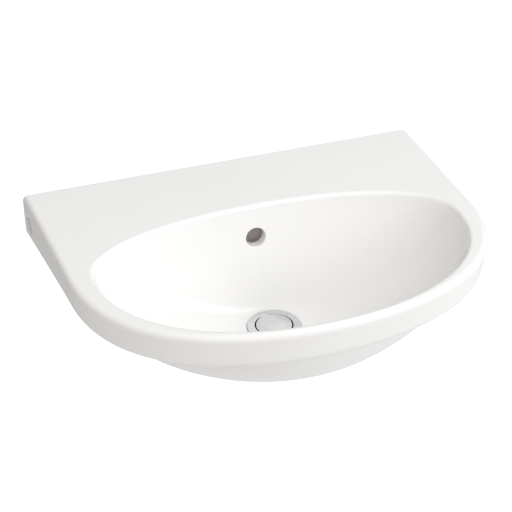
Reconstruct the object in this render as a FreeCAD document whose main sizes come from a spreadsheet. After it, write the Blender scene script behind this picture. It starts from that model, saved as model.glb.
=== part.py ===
import FreeCAD
import Part
import Sketcher
import math
import os
import re

# A wall-hung hand basin: one ceramic body, its push waste and its wall fixings. The origin lies on
# the wall plane, midway between the two wall studs; +Z is up, +X is to the right seen from the
# front, and the basin reaches towards -Y.

# Driving dimensions in millimetres
SIZES = {
    # Ceramic outline seen from above, and the apron below its rim
    "basin_width": 500.0,
    "basin_depth": 380.0,
    "side_run": 196.0,
    "side_taper": 5.8,
    "apron_height": 41.8,
    "apron_draft": 5.0,
    "apron_wall": 11.0,
    "apron_foot_round": 9.0,
    "flank_drop": 13.0,
    "flank_blend": 54.0,
    "hollow_reach": 190.0,
    "deck_thickness": 12.0,
    "rim_round": 7.0,
    "wall_edge_round": 3.0,
    # Bowl: setbacks are measured from the wall, drops and depths from the rim
    "side_rim": 34.3,
    "rim_flat": 0.8,
    "bowl_back_setback": 119.6,
    "bowl_depth": 129.0,
    "apron_cover": 1.8,
    "floor_margin": 6.0,
    "bowl_lip_round": 5.0,
    # Overflow hole, and the duct down the back of the bowl that leads to the waste
    "overflow_radius": 12.0,
    "overflow_drop": 42.0,
    "overflow_lip_round": 1.5,
    "chamber_width": 44.0,
    "chamber_depth": 16.0,
    "chamber_wall": 9.0,
    "column_rise": 34.0,
    "column_round": 8.0,
    # Wall panel with the stud holes
    "panel_thickness": 14.0,
    "panel_margin": 45.0,
    "panel_drop": 135.0,
    "panel_corner_round": 35.0,
    "panel_edge_round": 4.0,
    "stud_drop": 75.0,
    "stud_spacing": 280.0,
    # Ceramic outlet: floor, overflow gallery and foot, one below the other
    "drain_reach": 64.4,
    "waste_gap": 0.6,
    "waste_floor": 12.0,
    "waste_gallery": 11.0,
    "gallery_width": 10.0,
    "waste_foot": 10.0,
    "boss_wall": 11.0,
    "waste_boss_round": 4.0,
    "flange_recess": 2.0,
    "flange_recess_gap": 0.6,
    # Covers set into the flanks
    "side_hole_setback": 27.0,
    "side_hole_drop": 27.5,
    "side_stem_radius": 4.4,
    "side_stem_length": 6.0,
    "side_head_lap": 4.6,
    "side_head_height": 2.4,
    "side_head_bevel": 0.4,
    "side_recess_gap": 1.2,
    # Wall studs, sleeves, washers and nuts
    "stud_radius": 5.0,
    "stud_embed": 62.0,
    "stud_tip": 9.0,
    "stud_neck_length": 2.0,
    "stud_neck_depth": 0.7,
    "stud_thread_step": 0.15,
    "stud_front": 36.0,
    "stud_bevel": 1.0,
    "sleeve_wall": 2.75,
    "sleeve_setback": 2.0,
    "sleeve_flange_lap": 6.1,
    "sleeve_flange_height": 3.0,
    "stud_washer_width": 6.0,
    "stud_washer_height": 1.8,
    "stud_nut_wall": 4.8,
    "stud_nut_height": 8.0,
    "stud_nut_bevel": 0.9,
    # Waste flange and its seal
    "flange_land": 8.9,
    "flange_height": 2.8,
    "flange_bevel": 0.9,
    "flange_collar_step": 1.45,
    "flange_collar_height": 3.5,
    "flange_spigot_length": 10.0,
    "flange_seal_height": 1.2,
    "flange_seal_width": 8.0,
    "spigot_wall": 1.55,
    "seat_ledge": 5.5,
    "dish_gap": 1.7,
    "dish_depth": 3.0,
    # Threaded waste tube with overflow slots and the bridge that carries the latch
    "tube_bore_radius": 18.0,
    "tube_wall": 2.95,
    "tube_tail": 18.0,
    "tube_bevel": 1.0,
    "tube_groove_width": 1.5,
    "tube_groove_depth": 0.75,
    "tube_slot_width": 8.0,
    "tube_slot_height": 8.0,
    "bridge_drop": 26.0,
    "bridge_height": 6.0,
    "bridge_arm_width": 4.0,
    "bridge_hub_wall": 3.0,
    # Parts that clamp the waste under the ceramic
    "lower_seal_lap": 10.0,
    "lower_seal_height": 5.0,
    "lower_seal_bevel": 2.5,
    "slip_washer_lap": 8.0,
    "slip_washer_height": 1.5,
    "back_nut_wall": 9.05,
    "back_nut_height": 8.0,
    "back_nut_bevel": 1.4,
    # Plug cap with its ring seal and the gasket under its edge
    "plug_side_gap": 0.5,
    "plug_edge_height": 1.5,
    "plug_edge_bevel": 0.5,
    "plug_crown": 1.2,
    "plug_rise": 0.4,
    "plug_neck_gap": 1.4,
    "plug_neck_length": 7.5,
    "plug_groove_depth": 1.8,
    "plug_groove_drop": 3.0,
    "gasket_height": 0.8,
    "gasket_lip": 0.4,
    "plug_thread_depth": 6.0,
    # Push latch
    "plug_travel": 9.0,
    "plug_over_travel": 1.0,
    "plunger_thread_radius": 4.0,
    "plunger_shoulder": 1.0,
    "plunger_head_step": 1.5,
    "plunger_head_length": 8.0,
    "height_nut_wall": 3.2,
    "height_nut_height": 3.0,
    "height_nut_bevel": 0.6,
    "housing_wall": 1.5,
    "housing_roof": 3.0,
    "housing_gap": 1.0,
    "housing_collar_step": 2.0,
    "housing_collar_height": 5.0,
    "rotor_length": 6.0,
    "rotor_gap": 0.3,
    "rotor_notch_width": 2.5,
    "rotor_notch_depth": 2.0,
    "rotor_bore_radius": 2.5,
    "retainer_height": 4.0,
    "retainer_hole_radius": 3.0,
    "spring_length": 14.5,
    "spring_side_gap": 1.45,
    "spring_wire_radius": 0.45,
    "spring_end_gap": 0.3,
    # Clearances and cuts
    "fixed_clearance": 0.05,
    "ceramic_clearance": 0.3,
    "running_clearance": 0.08,
    "stud_clearance": 0.15,
    "cut_overrun": 20.0,
    "pick_slack": 0.02,
}

# Shape of the front: handle lengths of its curve as shares of the half width and of the nose's length
NOSE_PULL_SHARE = 0.36
FLANK_PULL_SHARE = 0.837

# Shape of the bowl: where on the nose it is widest, handle lengths of its quarter curves as shares of
# their reach, how far the front ones are tucked in at half depth, and the powers that set how steeply
# each wall falls before it turns into the floor, with fuller sides outside than inside
BOWL_WIDE_SHARE = 0.0734
BACK_FULLNESS_SHARE = 0.597
FRONT_FULLNESS_SHARE = 0.607
ROUND_FULLNESS_SHARE = 0.5523
FRONT_TUCK_SHARE = 0.06
BACK_WALL_POWER = 1.5
FRONT_WALL_POWER = 1.82
SIDE_WALL_POWER = 1.5
OUTER_SIDE_POWER = 1.8
SECTION_POWER = 1.7
SECTION_COUNT = 10

SPRING_TURNS = 6
HEX_SIDES = 6

# Sizes that follow from the driving ones, each written after those it needs
LINKED_SIZES = {
    "bowl_half_width": "basin_width / 2 - side_rim",
    "bowl_wide_setback": f"side_run + (basin_depth - side_run) * {BOWL_WIDE_SHARE}",
    "bowl_front_setback": "basin_depth - rim_round - bowl_lip_round - rim_flat",
    "bowl_wall": "rim_round + bowl_lip_round + rim_flat - apron_cover",
    "drain_setback": "bowl_back_setback + drain_reach",
    "panel_width": "stud_spacing + 2 * panel_margin",
    "stud_neck_radius": "stud_radius - stud_neck_depth",
    "stud_thread_radius": "stud_radius - stud_thread_step",
    "sleeve_radius": "stud_radius + stud_clearance + sleeve_wall",
    "sleeve_flange_radius": "sleeve_radius + sleeve_flange_lap",
    "sleeve_length": "panel_thickness - sleeve_setback",
    "stud_washer_radius": "stud_radius + stud_washer_width",
    "stud_nut_corner_radius": "stud_radius + stud_nut_wall",
    "side_head_radius": "side_stem_radius + side_head_lap",
    "tube_radius": "tube_bore_radius + tube_wall",
    "tube_groove_radius": "tube_radius - tube_groove_depth",
    "seat_bore_radius": "tube_bore_radius - fixed_clearance - spigot_wall",
    "seat_radius": "seat_bore_radius + seat_ledge",
    "plug_radius": "seat_radius - plug_side_gap",
    "dish_radius": "plug_radius + dish_gap",
    "flange_radius": "dish_radius + flange_land",
    "bowl_floor_radius": "flange_radius + floor_margin",
    "flange_collar_radius": "tube_radius + flange_collar_step",
    "waste_hole_radius": "flange_collar_radius + waste_gap",
    "waste_gallery_radius": "waste_hole_radius + gallery_width",
    "waste_boss_radius": "waste_gallery_radius + boss_wall",
    "lower_seal_radius": "waste_hole_radius + lower_seal_lap",
    "slip_washer_radius": "waste_hole_radius + slip_washer_lap",
    "back_nut_corner_radius": "tube_radius + back_nut_wall",
    "plug_neck_radius": "seat_bore_radius - plug_neck_gap",
    "plug_groove_radius": "plug_neck_radius - plug_groove_depth",
    "plug_seal_radius": "(plug_neck_gap + plug_groove_depth) / 2 - fixed_clearance",
    "plunger_radius": "plunger_thread_radius + plunger_shoulder",
    "housing_bore_radius": "plunger_radius + plunger_head_step",
    "housing_radius": "housing_bore_radius + housing_wall",
    "housing_collar_radius": "housing_radius + housing_collar_step",
    "bridge_hub_radius": "housing_radius + bridge_hub_wall",
    "height_nut_corner_radius": "plunger_thread_radius + height_nut_wall",
    "spring_radius": "housing_bore_radius - spring_side_gap - spring_wire_radius",
}

DOC = FreeCAD.newDocument("HandBasin")
SHEET = DOC.addObject("Spreadsheet::Sheet", "Sizes")
CELLS = {alias: str(number) for alias, number in SIZES.items()}
CELLS.update({alias: f"={formula}" for alias, formula in LINKED_SIZES.items()})
for row, (alias, content) in enumerate(CELLS.items(), start=1):
    SHEET.set(f"A{row}", alias)
    SHEET.set(f"B{row}", content)
    SHEET.setAlias(f"B{row}", alias)
DOC.recompute()

# Levels on the drain's axis, written with the sheet's names
RIM = "stud_drop"
FLOOR = f"({RIM} - bowl_depth)"
FOOT = f"({FLOOR} - waste_floor - waste_gallery - waste_foot)"
SEAL_TOP = f"({FLOOR} - flange_recess + flange_seal_height)"
FLANGE_TOP = f"({SEAL_TOP} + flange_height)"
TUBE_TOP = f"({SEAL_TOP} - flange_collar_height)"
LOWER_SEAL = f"({FOOT} - lower_seal_height)"
SLIP_WASHER = f"({LOWER_SEAL} - slip_washer_height)"
BACK_NUT = f"({SLIP_WASHER} - back_nut_height)"
TUBE_FOOT = f"({BACK_NUT} - tube_tail)"
BRIDGE_TOP = f"({SEAL_TOP} - bridge_drop)"
PLUG_UNDER = f"({FLANGE_TOP} + plug_rise - plug_edge_height)"
NECK_FOOT = f"({PLUG_UNDER} - plug_neck_length)"
HEIGHT_NUT = f"({NECK_FOOT} - height_nut_height)"
HOUSING_TOP = f"({HEIGHT_NUT} - plug_over_travel - housing_gap)"
HEAD_TOP = f"({HOUSING_TOP} - housing_roof - plug_travel - running_clearance)"
HEAD_FOOT = f"({HEAD_TOP} - plunger_head_length)"
ROTOR_FOOT = f"({HEAD_FOOT} - rotor_gap - rotor_length)"
RETAINER_TOP = f"({ROTOR_FOOT} - spring_length)"
HOUSING_FOOT = f"({RETAINER_TOP} - retainer_height)"


def size(alias):
    return float(SHEET.get(alias))


def vec(x, y, z):
    return FreeCAD.Vector(x, y, z)


def bound(text):
    """The expression with each of the sheet's names pointing at its cell."""
    return re.sub(r"[a-z_]+", lambda found: f"{SHEET.Name}.{found.group()}", text)


def bind(item, expressions):
    for prop, text in expressions.items():
        item.setExpression(prop, bound(text))
    return item


def at_drain(item, level):
    return bind(item, {"Placement.Base.y": "-drain_setback", "Placement.Base.z": level})


# Building blocks: turned bodies, primitives and booleans

def turned_body(name, corners):
    """Body of revolution about its own Z; corners are (radius, height) expressions, none negative."""
    body = DOC.addObject("PartDesign::Body", name)
    sketch = body.newObject("Sketcher::SketchObject", f"{name}_profile")
    plane = next(item for item in body.Origin.OriginFeatures if item.Role == "XZ_Plane")
    sketch.AttachmentSupport = (plane, "")
    sketch.MapMode = "FlatFace"
    count = len(corners)
    angles = [math.tau * step / count for step in range(count)]
    guess = [vec(math.cos(angle), math.sin(angle), 0) for angle in angles]
    for start, end in zip(guess, guess[1:] + guess[:1]):
        sketch.addGeometry(Part.LineSegment(start, end), False)
    for corner in range(count):
        sketch.addConstraint(Sketcher.Constraint("Coincident", corner, 2, (corner + 1) % count, 1))
    for corner, pair in enumerate(corners):
        for kind, zero_axis, text in zip(("DistanceX", "DistanceY"), (-2, -1), pair):
            if text == "0":
                sketch.addConstraint(Sketcher.Constraint("PointOnObject", corner, 1, zero_axis))
            else:
                number = sketch.addConstraint(Sketcher.Constraint(kind, -1, 1, corner, 1, 1))
                sketch.setExpression(f"Constraints[{number}]", bound(text))
    turn = body.newObject("PartDesign::Revolution", f"{name}_turn")
    turn.Profile = sketch
    turn.ReferenceAxis = (sketch, ["V_Axis"])
    return body


def ring_corners(bore, outside, height, bevel="0"):
    """Profile of a ring whose outer edges are bevelled."""
    if bevel == "0":
        return [(bore, "0"), (outside, "0"), (outside, height), (bore, height)]
    inner = f"{outside} - {bevel}"
    upper = f"{height} - {bevel}"
    return [(bore, "0"), (inner, "0"), (outside, bevel), (outside, upper), (inner, height), (bore, height)]


def cylinder(name, radius, height):
    return bind(DOC.addObject("Part::Cylinder", name), {"Radius": radius, "Height": height})


def box(name, length, width, height):
    return bind(DOC.addObject("Part::Box", name), {"Length": length, "Width": width, "Height": height})


def fuse(name, shapes):
    joined = DOC.addObject("Part::MultiFuse", name)
    joined.Shapes = shapes
    return joined


def cut(name, base, tool):
    result = DOC.addObject("Part::Cut", name)
    result.Base = base
    result.Tool = tool
    return result


def hex_nut(name, corner_radius, bore, height, bevel):
    """Hexagonal nut: a prism limited by a bevelled ring, which also gives it its bore."""
    prism = DOC.addObject("Part::Prism", f"{name}_prism")
    prism.Polygon = HEX_SIDES
    bind(prism, {"Circumradius": corner_radius, "Height": height})
    nut = DOC.addObject("Part::Common", name)
    nut.Base = prism
    nut.Tool = turned_body(f"{name}_ring", ring_corners(bore, corner_radius, height, bevel))
    return nut


def mirrored_pair(name, item):
    """Two equal pieces, one on each side of the basin's middle."""
    twin = DOC.addObject("Part::Mirroring", f"{name}_twin")
    twin.Source = item
    twin.Normal = vec(1, 0, 0)
    pair = DOC.addObject("Part::Compound", name)
    pair.Links = [item, twin]
    return pair


def on_stud(name, item, setback):
    """Turn an item so that its Z runs from the wall to the front, on the right stud, and pair it."""
    item.Placement = FreeCAD.Placement(vec(0, 0, 0), FreeCAD.Rotation(vec(1, 0, 0), 90))
    bind(item, {"Placement.Base.x": "stud_spacing / 2", "Placement.Base.y": setback})
    return mirrored_pair(name, item)


# Ceramic body

def line(start, end):
    return Part.LineSegment(start, end).toShape()


def bezier(*poles):
    curve = Part.BezierCurve()
    curve.setPoles(list(poles))
    return curve.toShape()


def apron_outline(inset, draft, level):
    """Plan outline of the apron, drawn in by inset, and by draft as well where it has left the wall;
    its back runs past the wall plane."""
    run = size("side_run")
    taper = size("side_taper")
    overrun = size("cut_overrun")
    half = size("basin_width") / 2 - inset
    depth = size("basin_depth") - inset - draft
    lean = taper + draft
    nose_pull = NOSE_PULL_SHARE * (half - draft)
    flank_pull = FLANK_PULL_SHARE * (depth - run)
    flank_length = math.hypot(run, lean)
    turn_x = half - lean
    handle_x = turn_x - flank_pull * lean / flank_length
    handle_y = -run - flank_pull * run / flank_length
    back_x = half + lean * overrun / run
    nose = vec(0, -depth, level)

    def side(sign):
        back = vec(sign * back_x, overrun, level)
        turn = vec(sign * turn_x, -run, level)
        handle = vec(sign * handle_x, handle_y, level)
        nose_handle = vec(sign * nose_pull, -depth, level)
        return back, turn, handle, nose_handle

    back, turn, handle, nose_handle = side(1)
    far_back, far_turn, far_handle, far_nose_handle = side(-1)
    return Part.Wire([
        line(far_back, back),
        line(back, turn),
        bezier(turn, handle, nose_handle, nose),
        bezier(nose, far_nose_handle, far_handle, far_turn),
        line(far_turn, far_back),
    ])


def oval(half_width, back, wide, front, level, back_share, front_share):
    """Closed oval of four quarter curves; back, wide and front are setbacks from the wall."""

    def quarter(sign, end_setback, share):
        start = vec(sign * half_width, -wide, level)
        end = vec(0, -end_setback, level)
        start_handle = start + vec(0, share * (wide - end_setback), 0)
        end_handle = end + vec(sign * share * half_width, 0, 0)
        return [start, start_handle, end_handle, end]

    return Part.Wire([
        bezier(*quarter(1, back, back_share)),
        bezier(*reversed(quarter(-1, back, back_share))),
        bezier(*quarter(-1, front, front_share)),
        bezier(*reversed(quarter(1, front, front_share))),
    ])


def bowl_form(wall, floor, overrun, side_power):
    """Solid of the bowl grown by wall, from overrun above the rim to its flat floor."""
    rim = size("stud_drop")
    depth = size("bowl_depth") + floor
    floor_radius = size("bowl_floor_radius") + wall
    half_width = size("bowl_half_width") + wall
    back = size("bowl_back_setback") - wall
    wide = size("bowl_wide_setback")
    front = size("bowl_front_setback") + wall
    drain = size("drain_setback")

    def drawn_in(depth_share, power):
        return 1 - (1 - depth_share ** power) ** (1 / power)

    def section(depth_share, level):
        back_in_share = drawn_in(depth_share, BACK_WALL_POWER)
        front_in_share = drawn_in(depth_share, FRONT_WALL_POWER)
        side_in_share = drawn_in(depth_share, side_power)
        wide_in_share = (back_in_share + front_in_share) / 2
        tuck_share = FRONT_TUCK_SHARE * 4 * depth_share * (1 - depth_share)
        return oval(
            half_width + (floor_radius - half_width) * side_in_share,
            back + (drain - floor_radius - back) * back_in_share,
            wide + (drain - wide) * wide_in_share,
            front + (drain + floor_radius - front) * front_in_share,
            level,
            BACK_FULLNESS_SHARE + (ROUND_FULLNESS_SHARE - BACK_FULLNESS_SHARE) * depth_share,
            FRONT_FULLNESS_SHARE + (ROUND_FULLNESS_SHARE - FRONT_FULLNESS_SHARE) * depth_share - tuck_share,
        )

    sections = []
    for step in range(SECTION_COUNT + 1):
        depth_share = min(1, math.sin(math.pi / 2 * step / SECTION_COUNT) ** (2 / SECTION_POWER))
        sections.append(section(depth_share, rim - depth * depth_share))
    form = Part.makeLoft(sections, True, False)
    if overrun:
        mouth = Part.Face(section(0, rim))
        form = form.fuse(mouth.extrude(vec(0, 0, overrun)))
    return form


def cross_prism(width, corners):
    """Prism across the basin's middle; corners are (setback, level) pairs."""
    points = [vec(-width / 2, -setback, level) for setback, level in corners]
    return Part.Face(Part.makePolygon(points + points[:1])).extrude(vec(width, 0, 0))


def edges_where(shape, test):
    """Edges whose every sampled point passes the test."""
    samples = 5
    return [edge for edge in shape.Edges if all(test(point) for point in edge.discretize(samples))]


def draft_at(drop):
    """How far the front has come in at that drop below the rim."""
    return size("apron_draft") * drop / size("apron_height")


def foot_level(setback):
    """Height of the apron's foot: level along the front, and falling along the flanks to the wall."""
    foot = size("stud_drop") - size("apron_height")
    run = size("side_run")
    blend = size("flank_blend")
    fall_per_length = size("flank_drop") / run
    before_blend = run + blend - setback
    if before_blend <= 0:
        return foot
    if before_blend <= 2 * blend:
        return foot - fall_per_length * before_blend ** 2 / (4 * blend)
    return foot - fall_per_length * (run - setback)


def below_foot():
    """Space under the apron's foot, as wide as anything it is cut from."""
    run = size("side_run")
    blend = size("flank_blend")
    overrun = size("cut_overrun")
    width = size("basin_width") + 2 * overrun
    foot = foot_level(run + blend)
    bottom = foot_level(-overrun) - 2 * overrun

    def point(setback, level):
        return vec(-width / 2, -setback, level)

    front = size("basin_depth") + overrun
    nose = point(front, foot)
    blend_front = point(run + blend, foot)
    blend_back = point(run - blend, foot_level(run - blend))
    behind = point(-2 * overrun, foot_level(-2 * overrun))
    low_behind = point(-2 * overrun, bottom)
    low_front = point(front, bottom)
    edges = [
        line(nose, blend_front),
        bezier(blend_front, point(run, foot), blend_back),
        line(blend_back, behind),
        line(behind, low_behind),
        line(low_behind, low_front),
        line(low_front, nose),
    ]
    return Part.Face(Part.Wire(edges)).extrude(vec(width, 0, 0))


def apron_solid():
    """Deck and apron as a solid slab with its outer edges rounded and its back flat on the wall."""
    rim = size("stud_drop")
    slack = size("pick_slack")
    drop = size("apron_height") + size("flank_drop") + size("cut_overrun")
    slab = Part.makeLoft(
        [apron_outline(0, 0, rim), apron_outline(0, draft_at(drop), rim - drop)], True, True
    )
    rim_edges = edges_where(slab, lambda point: abs(point.z - rim) < slack)
    rim_edges = [edge for edge in rim_edges if edge.BoundBox.YMin < 0]
    slab = slab.makeFillet(size("rim_round"), rim_edges)
    slab = slab.cut(below_foot())
    foot_edges = edges_where(slab, lambda point: abs(point.z - foot_level(-point.y)) < slack)
    foot_edges = [edge for edge in foot_edges if edge.BoundBox.YMin < 0 and edge.BoundBox.YLength > slack]
    slab = slab.makeFillet(size("apron_foot_round"), foot_edges)
    room = slab.BoundBox
    behind = Part.makeBox(room.XLength, room.YMax, room.ZLength, vec(room.XMin, 0, room.ZMin))
    slab = slab.cut(behind)
    wall_edges = edges_where(slab, lambda point: abs(point.y) < slack)
    return slab.makeFillet(size("wall_edge_round"), wall_edges)


def hollow_under_deck():
    """Space inside the apron, open below, from the wall panel to beside the bowl."""
    rim = size("stud_drop")
    deck = size("deck_thickness")
    height = size("apron_height")
    wall = size("apron_wall")
    top = apron_outline(wall, draft_at(deck), rim - deck)
    foot = apron_outline(wall, draft_at(height), rim - height)
    below = Part.Face(foot).extrude(vec(0, 0, -size("flank_drop") - size("cut_overrun")))
    space = Part.makeLoft([top, foot], True, True).fuse(below)
    room = space.BoundBox
    reach = size("hollow_reach")
    length = reach - size("panel_thickness")
    return space.common(Part.makeBox(room.XLength, length, room.ZLength, vec(room.XMin, -reach, room.ZMin)))


def wall_panel():
    """Plate against the wall, from the deck down past the studs, with rounded lower corners."""
    rim = size("stud_drop")
    half = size("panel_width") / 2
    thickness = size("panel_thickness")
    height = size("panel_drop") - size("deck_thickness")
    panel = Part.makeBox(2 * half, thickness, height, vec(-half, -thickness, rim - size("panel_drop")))
    middle = rim - size("panel_drop") + height / 2
    deep_edges = [edge for edge in panel.Edges if edge.BoundBox.YLength > thickness / 2]
    lower_corners = [edge for edge in deep_edges if edge.BoundBox.ZMax < middle]
    panel = panel.makeFillet(size("panel_corner_round"), lower_corners)
    slack = size("pick_slack")
    top = rim - size("deck_thickness") - slack
    front_edges = edges_where(panel, lambda point: abs(point.y + thickness) < slack)
    front_edges = [edge for edge in front_edges if edge.BoundBox.ZMin < top]
    return panel.makeFillet(size("panel_edge_round"), front_edges)


def basin_shell():
    """The glazed body with its bowl, overflow way and outlet, before its plain round holes."""
    rim = size("stud_drop")
    deck = size("deck_thickness")
    drain = size("drain_setback")
    overrun = size("cut_overrun")
    floor = rim - size("bowl_depth")
    gallery_top = floor - size("waste_floor")
    gallery_foot = gallery_top - size("waste_gallery")
    foot = gallery_foot - size("waste_foot")
    bowl_outside = bowl_form(size("bowl_wall"), size("waste_floor"), 0, OUTER_SIDE_POWER)
    bowl_inside = bowl_form(0, 0, overrun, SIDE_WALL_POWER)

    room = bowl_outside.BoundBox
    above = Part.makeBox(room.XLength, room.YLength, deck, vec(room.XMin, room.YMin, rim - deck))
    bowl_wall = bowl_outside.cut(above)

    column_foot = foot + size("column_rise")
    column_width = size("chamber_width") + 2 * size("chamber_wall")
    thickness = size("panel_thickness")
    floor_slope = (foot - column_foot) / drain
    column = cross_prism(column_width, [
        (thickness / 2, rim - deck / 2),
        (thickness / 2, column_foot),
        (drain, foot),
        (drain, rim - deck / 2),
    ])
    long_edges = [edge for edge in column.Edges if edge.BoundBox.YLength > drain / 2]
    lower_edges = [edge for edge in long_edges if edge.BoundBox.ZMax < column_foot + size("pick_slack")]
    column = column.makeFillet(size("column_round"), lower_edges)
    duct_wall = size("bowl_wall") + size("chamber_depth")
    duct_inside = bowl_form(duct_wall, floor - gallery_foot, 0, OUTER_SIDE_POWER)
    duct_outside = bowl_form(duct_wall + size("chamber_wall"), floor - foot, 0, OUTER_SIDE_POWER)
    column = column.common(duct_outside)
    chamber_end = drain - size("waste_hole_radius") / 2

    def chamber_floor(setback):
        return column_foot + floor_slope * setback + size("chamber_wall")

    chamber = cross_prism(size("chamber_width"), [
        (thickness, rim - deck),
        (thickness, chamber_floor(thickness)),
        (chamber_end, chamber_floor(chamber_end)),
        (chamber_end, rim - deck),
    ]).common(duct_inside).cut(bowl_outside)
    boss = Part.makeCylinder(size("waste_boss_radius"), floor - foot, vec(0, -drain, foot))
    boss_edges = edges_where(boss, lambda point: abs(point.z - foot) < size("pick_slack"))
    boss = boss.makeFillet(size("waste_boss_round"), boss_edges)
    gallery = Part.makeCylinder(
        size("waste_gallery_radius"), size("waste_gallery"), vec(0, -drain, gallery_foot)
    )

    shell = apron_solid().cut(hollow_under_deck())
    shell = shell.fuse([bowl_wall, wall_panel(), column, boss]).removeSplitter()
    shell = shell.cut(bowl_inside)
    slack = size("pick_slack")
    lip_back = slack - size("bowl_back_setback")
    lip_front = -slack - size("bowl_front_setback")
    lip_edges = edges_where(
        shell, lambda point: abs(point.z - rim) < slack and lip_front < point.y < lip_back
    )
    shell = shell.makeFillet(size("bowl_lip_round"), lip_edges)
    shell = shell.cut([chamber, gallery])

    overflow_start = size("bowl_back_setback") - size("bowl_wall") - size("chamber_depth") / 2
    overflow_length = size("bowl_wall") + size("chamber_depth") / 2 + overrun
    overflow_level = rim - size("overflow_drop")
    overflow = Part.makeCylinder(
        size("overflow_radius"), overflow_length, vec(0, -overflow_start, overflow_level), vec(0, -1, 0)
    )
    shell = shell.cut(overflow)
    reach = size("overflow_radius") + slack
    front = -size("bowl_back_setback") + slack
    overflow_edges = edges_where(
        shell, lambda point: point.y < front and math.hypot(point.x, point.z - overflow_level) < reach
    )
    return shell.makeFillet(size("overflow_lip_round"), overflow_edges)


def flank_point_and_normal():
    """Where the right cover's axis leaves the flank, and the flank's outward direction there."""
    run = size("side_run")
    setback = size("side_hole_setback")
    drop = size("side_hole_drop")
    lean = size("side_taper") + draft_at(drop)
    x = size("basin_width") / 2 - lean * setback / run
    normal = vec(1, -lean / run, -draft_at(setback) / run).normalize()
    return vec(x, -setback, size("stud_drop") - drop), normal


def on_flank(item, inward):
    """Set an item with its Z square to the right flank, starting that far inside it."""
    point, normal = flank_point_and_normal()
    item.Placement = FreeCAD.Placement(point - normal * inward, FreeCAD.Rotation(vec(0, 0, 1), normal))
    return item


def basin_body():
    shell = DOC.addObject("Part::Feature", "basin_shell")
    shell.Shape = basin_shell()
    waste_way = "waste_floor + waste_gallery + waste_foot + 2 * cut_overrun"
    waste_hole = at_drain(cylinder("waste_hole", "waste_hole_radius", waste_way), f"{FOOT} - cut_overrun")
    pocket = cylinder("flange_pocket", "flange_radius + flange_recess_gap", "flange_recess + cut_overrun")
    at_drain(pocket, f"{FLOOR} - flange_recess")
    stud_way = "panel_thickness + 2 * cut_overrun"
    stud_hole = cylinder("stud_hole", "sleeve_radius + ceramic_clearance", stud_way)
    side_depth = "side_stem_length + side_head_height + ceramic_clearance"
    side_hole = cylinder("side_hole", "side_stem_radius + ceramic_clearance", f"{side_depth} + cut_overrun")
    on_flank(side_hole, size("side_stem_length") + size("side_head_height") + size("ceramic_clearance"))
    recess_radius = "side_head_radius + side_recess_gap"
    side_recess = cylinder("side_recess", recess_radius, "side_head_height + cut_overrun")
    on_flank(side_recess, size("side_head_height"))
    tools = fuse("plain_holes", [
        waste_hole,
        pocket,
        on_stud("stud_holes", stud_hole, "cut_overrun"),
        mirrored_pair("side_holes", side_hole),
        mirrored_pair("side_recesses", side_recess),
    ])
    return cut("basin_body", shell, tools)


# Wall fixings and side covers

def wall_studs():
    """Hanger bolts: a shank in the wall, a neck at the wall plane and a thread in front of it."""
    length = "stud_embed + panel_thickness + stud_front"
    stud = turned_body("wall_stud", [
        ("0", "0"),
        ("stud_radius", "stud_tip"),
        ("stud_radius", "stud_embed"),
        ("stud_neck_radius", "stud_embed"),
        ("stud_neck_radius", "stud_embed + stud_neck_length"),
        ("stud_thread_radius", "stud_embed + stud_neck_length"),
        ("stud_thread_radius", f"{length} - stud_bevel"),
        ("stud_thread_radius - stud_bevel", length),
        ("0", length),
    ])
    return on_stud("wall_studs", stud, "stud_embed")


def stud_sleeves():
    bore = "stud_thread_radius + stud_clearance"
    length = "sleeve_length + sleeve_flange_height"
    sleeve = turned_body("stud_sleeve", [
        (bore, "0"),
        ("sleeve_radius", "0"),
        ("sleeve_radius", "sleeve_length"),
        ("sleeve_flange_radius", "sleeve_length"),
        ("sleeve_flange_radius", length),
        (bore, length),
    ])
    return on_stud("stud_sleeves", sleeve, "sleeve_length - panel_thickness")


def stud_washers():
    bore = "stud_thread_radius + stud_clearance"
    corners = ring_corners(bore, "stud_washer_radius", "stud_washer_height")
    washer = turned_body("stud_washer", corners)
    return on_stud("stud_washers", washer, "-panel_thickness - sleeve_flange_height")


def stud_nuts():
    bore = "stud_thread_radius + fixed_clearance"
    nut = hex_nut("stud_nut", "stud_nut_corner_radius", bore, "stud_nut_height", "stud_nut_bevel")
    return on_stud("stud_nuts", nut, "-panel_thickness - sleeve_flange_height - stud_washer_height")


def side_plugs():
    height = "side_stem_length + side_head_height"
    plug = turned_body("side_plug", [
        ("0", "0"),
        ("side_stem_radius", "0"),
        ("side_stem_radius", "side_stem_length"),
        ("side_head_radius", "side_stem_length"),
        ("side_head_radius", f"{height} - side_head_bevel"),
        ("side_head_radius - side_head_bevel", height),
        ("0", height),
    ])
    return mirrored_pair("side_plugs", on_flank(plug, size("side_stem_length") + size("side_head_height")))


# Waste

def waste_flange():
    spigot = "tube_bore_radius - fixed_clearance"
    collar_top = "flange_spigot_length + flange_collar_height"
    top = f"{collar_top} + flange_height"
    flange = turned_body("waste_flange", [
        ("seat_bore_radius", "0"),
        (spigot, "0"),
        (spigot, "flange_spigot_length"),
        ("flange_collar_radius", "flange_spigot_length"),
        ("flange_collar_radius", collar_top),
        ("flange_radius", collar_top),
        ("flange_radius", f"{top} - flange_bevel"),
        ("flange_radius - flange_bevel", top),
        ("dish_radius", top),
        ("seat_radius", f"{top} - dish_depth"),
        ("seat_bore_radius", f"{top} - dish_depth"),
    ])
    return at_drain(flange, f"{TUBE_TOP} - flange_spigot_length")


def flange_seal():
    outside = "waste_hole_radius + flange_seal_width"
    seal = turned_body("flange_seal", ring_corners("waste_hole_radius", outside, "flange_seal_height"))
    return at_drain(seal, f"{FLOOR} - flange_recess")


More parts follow.
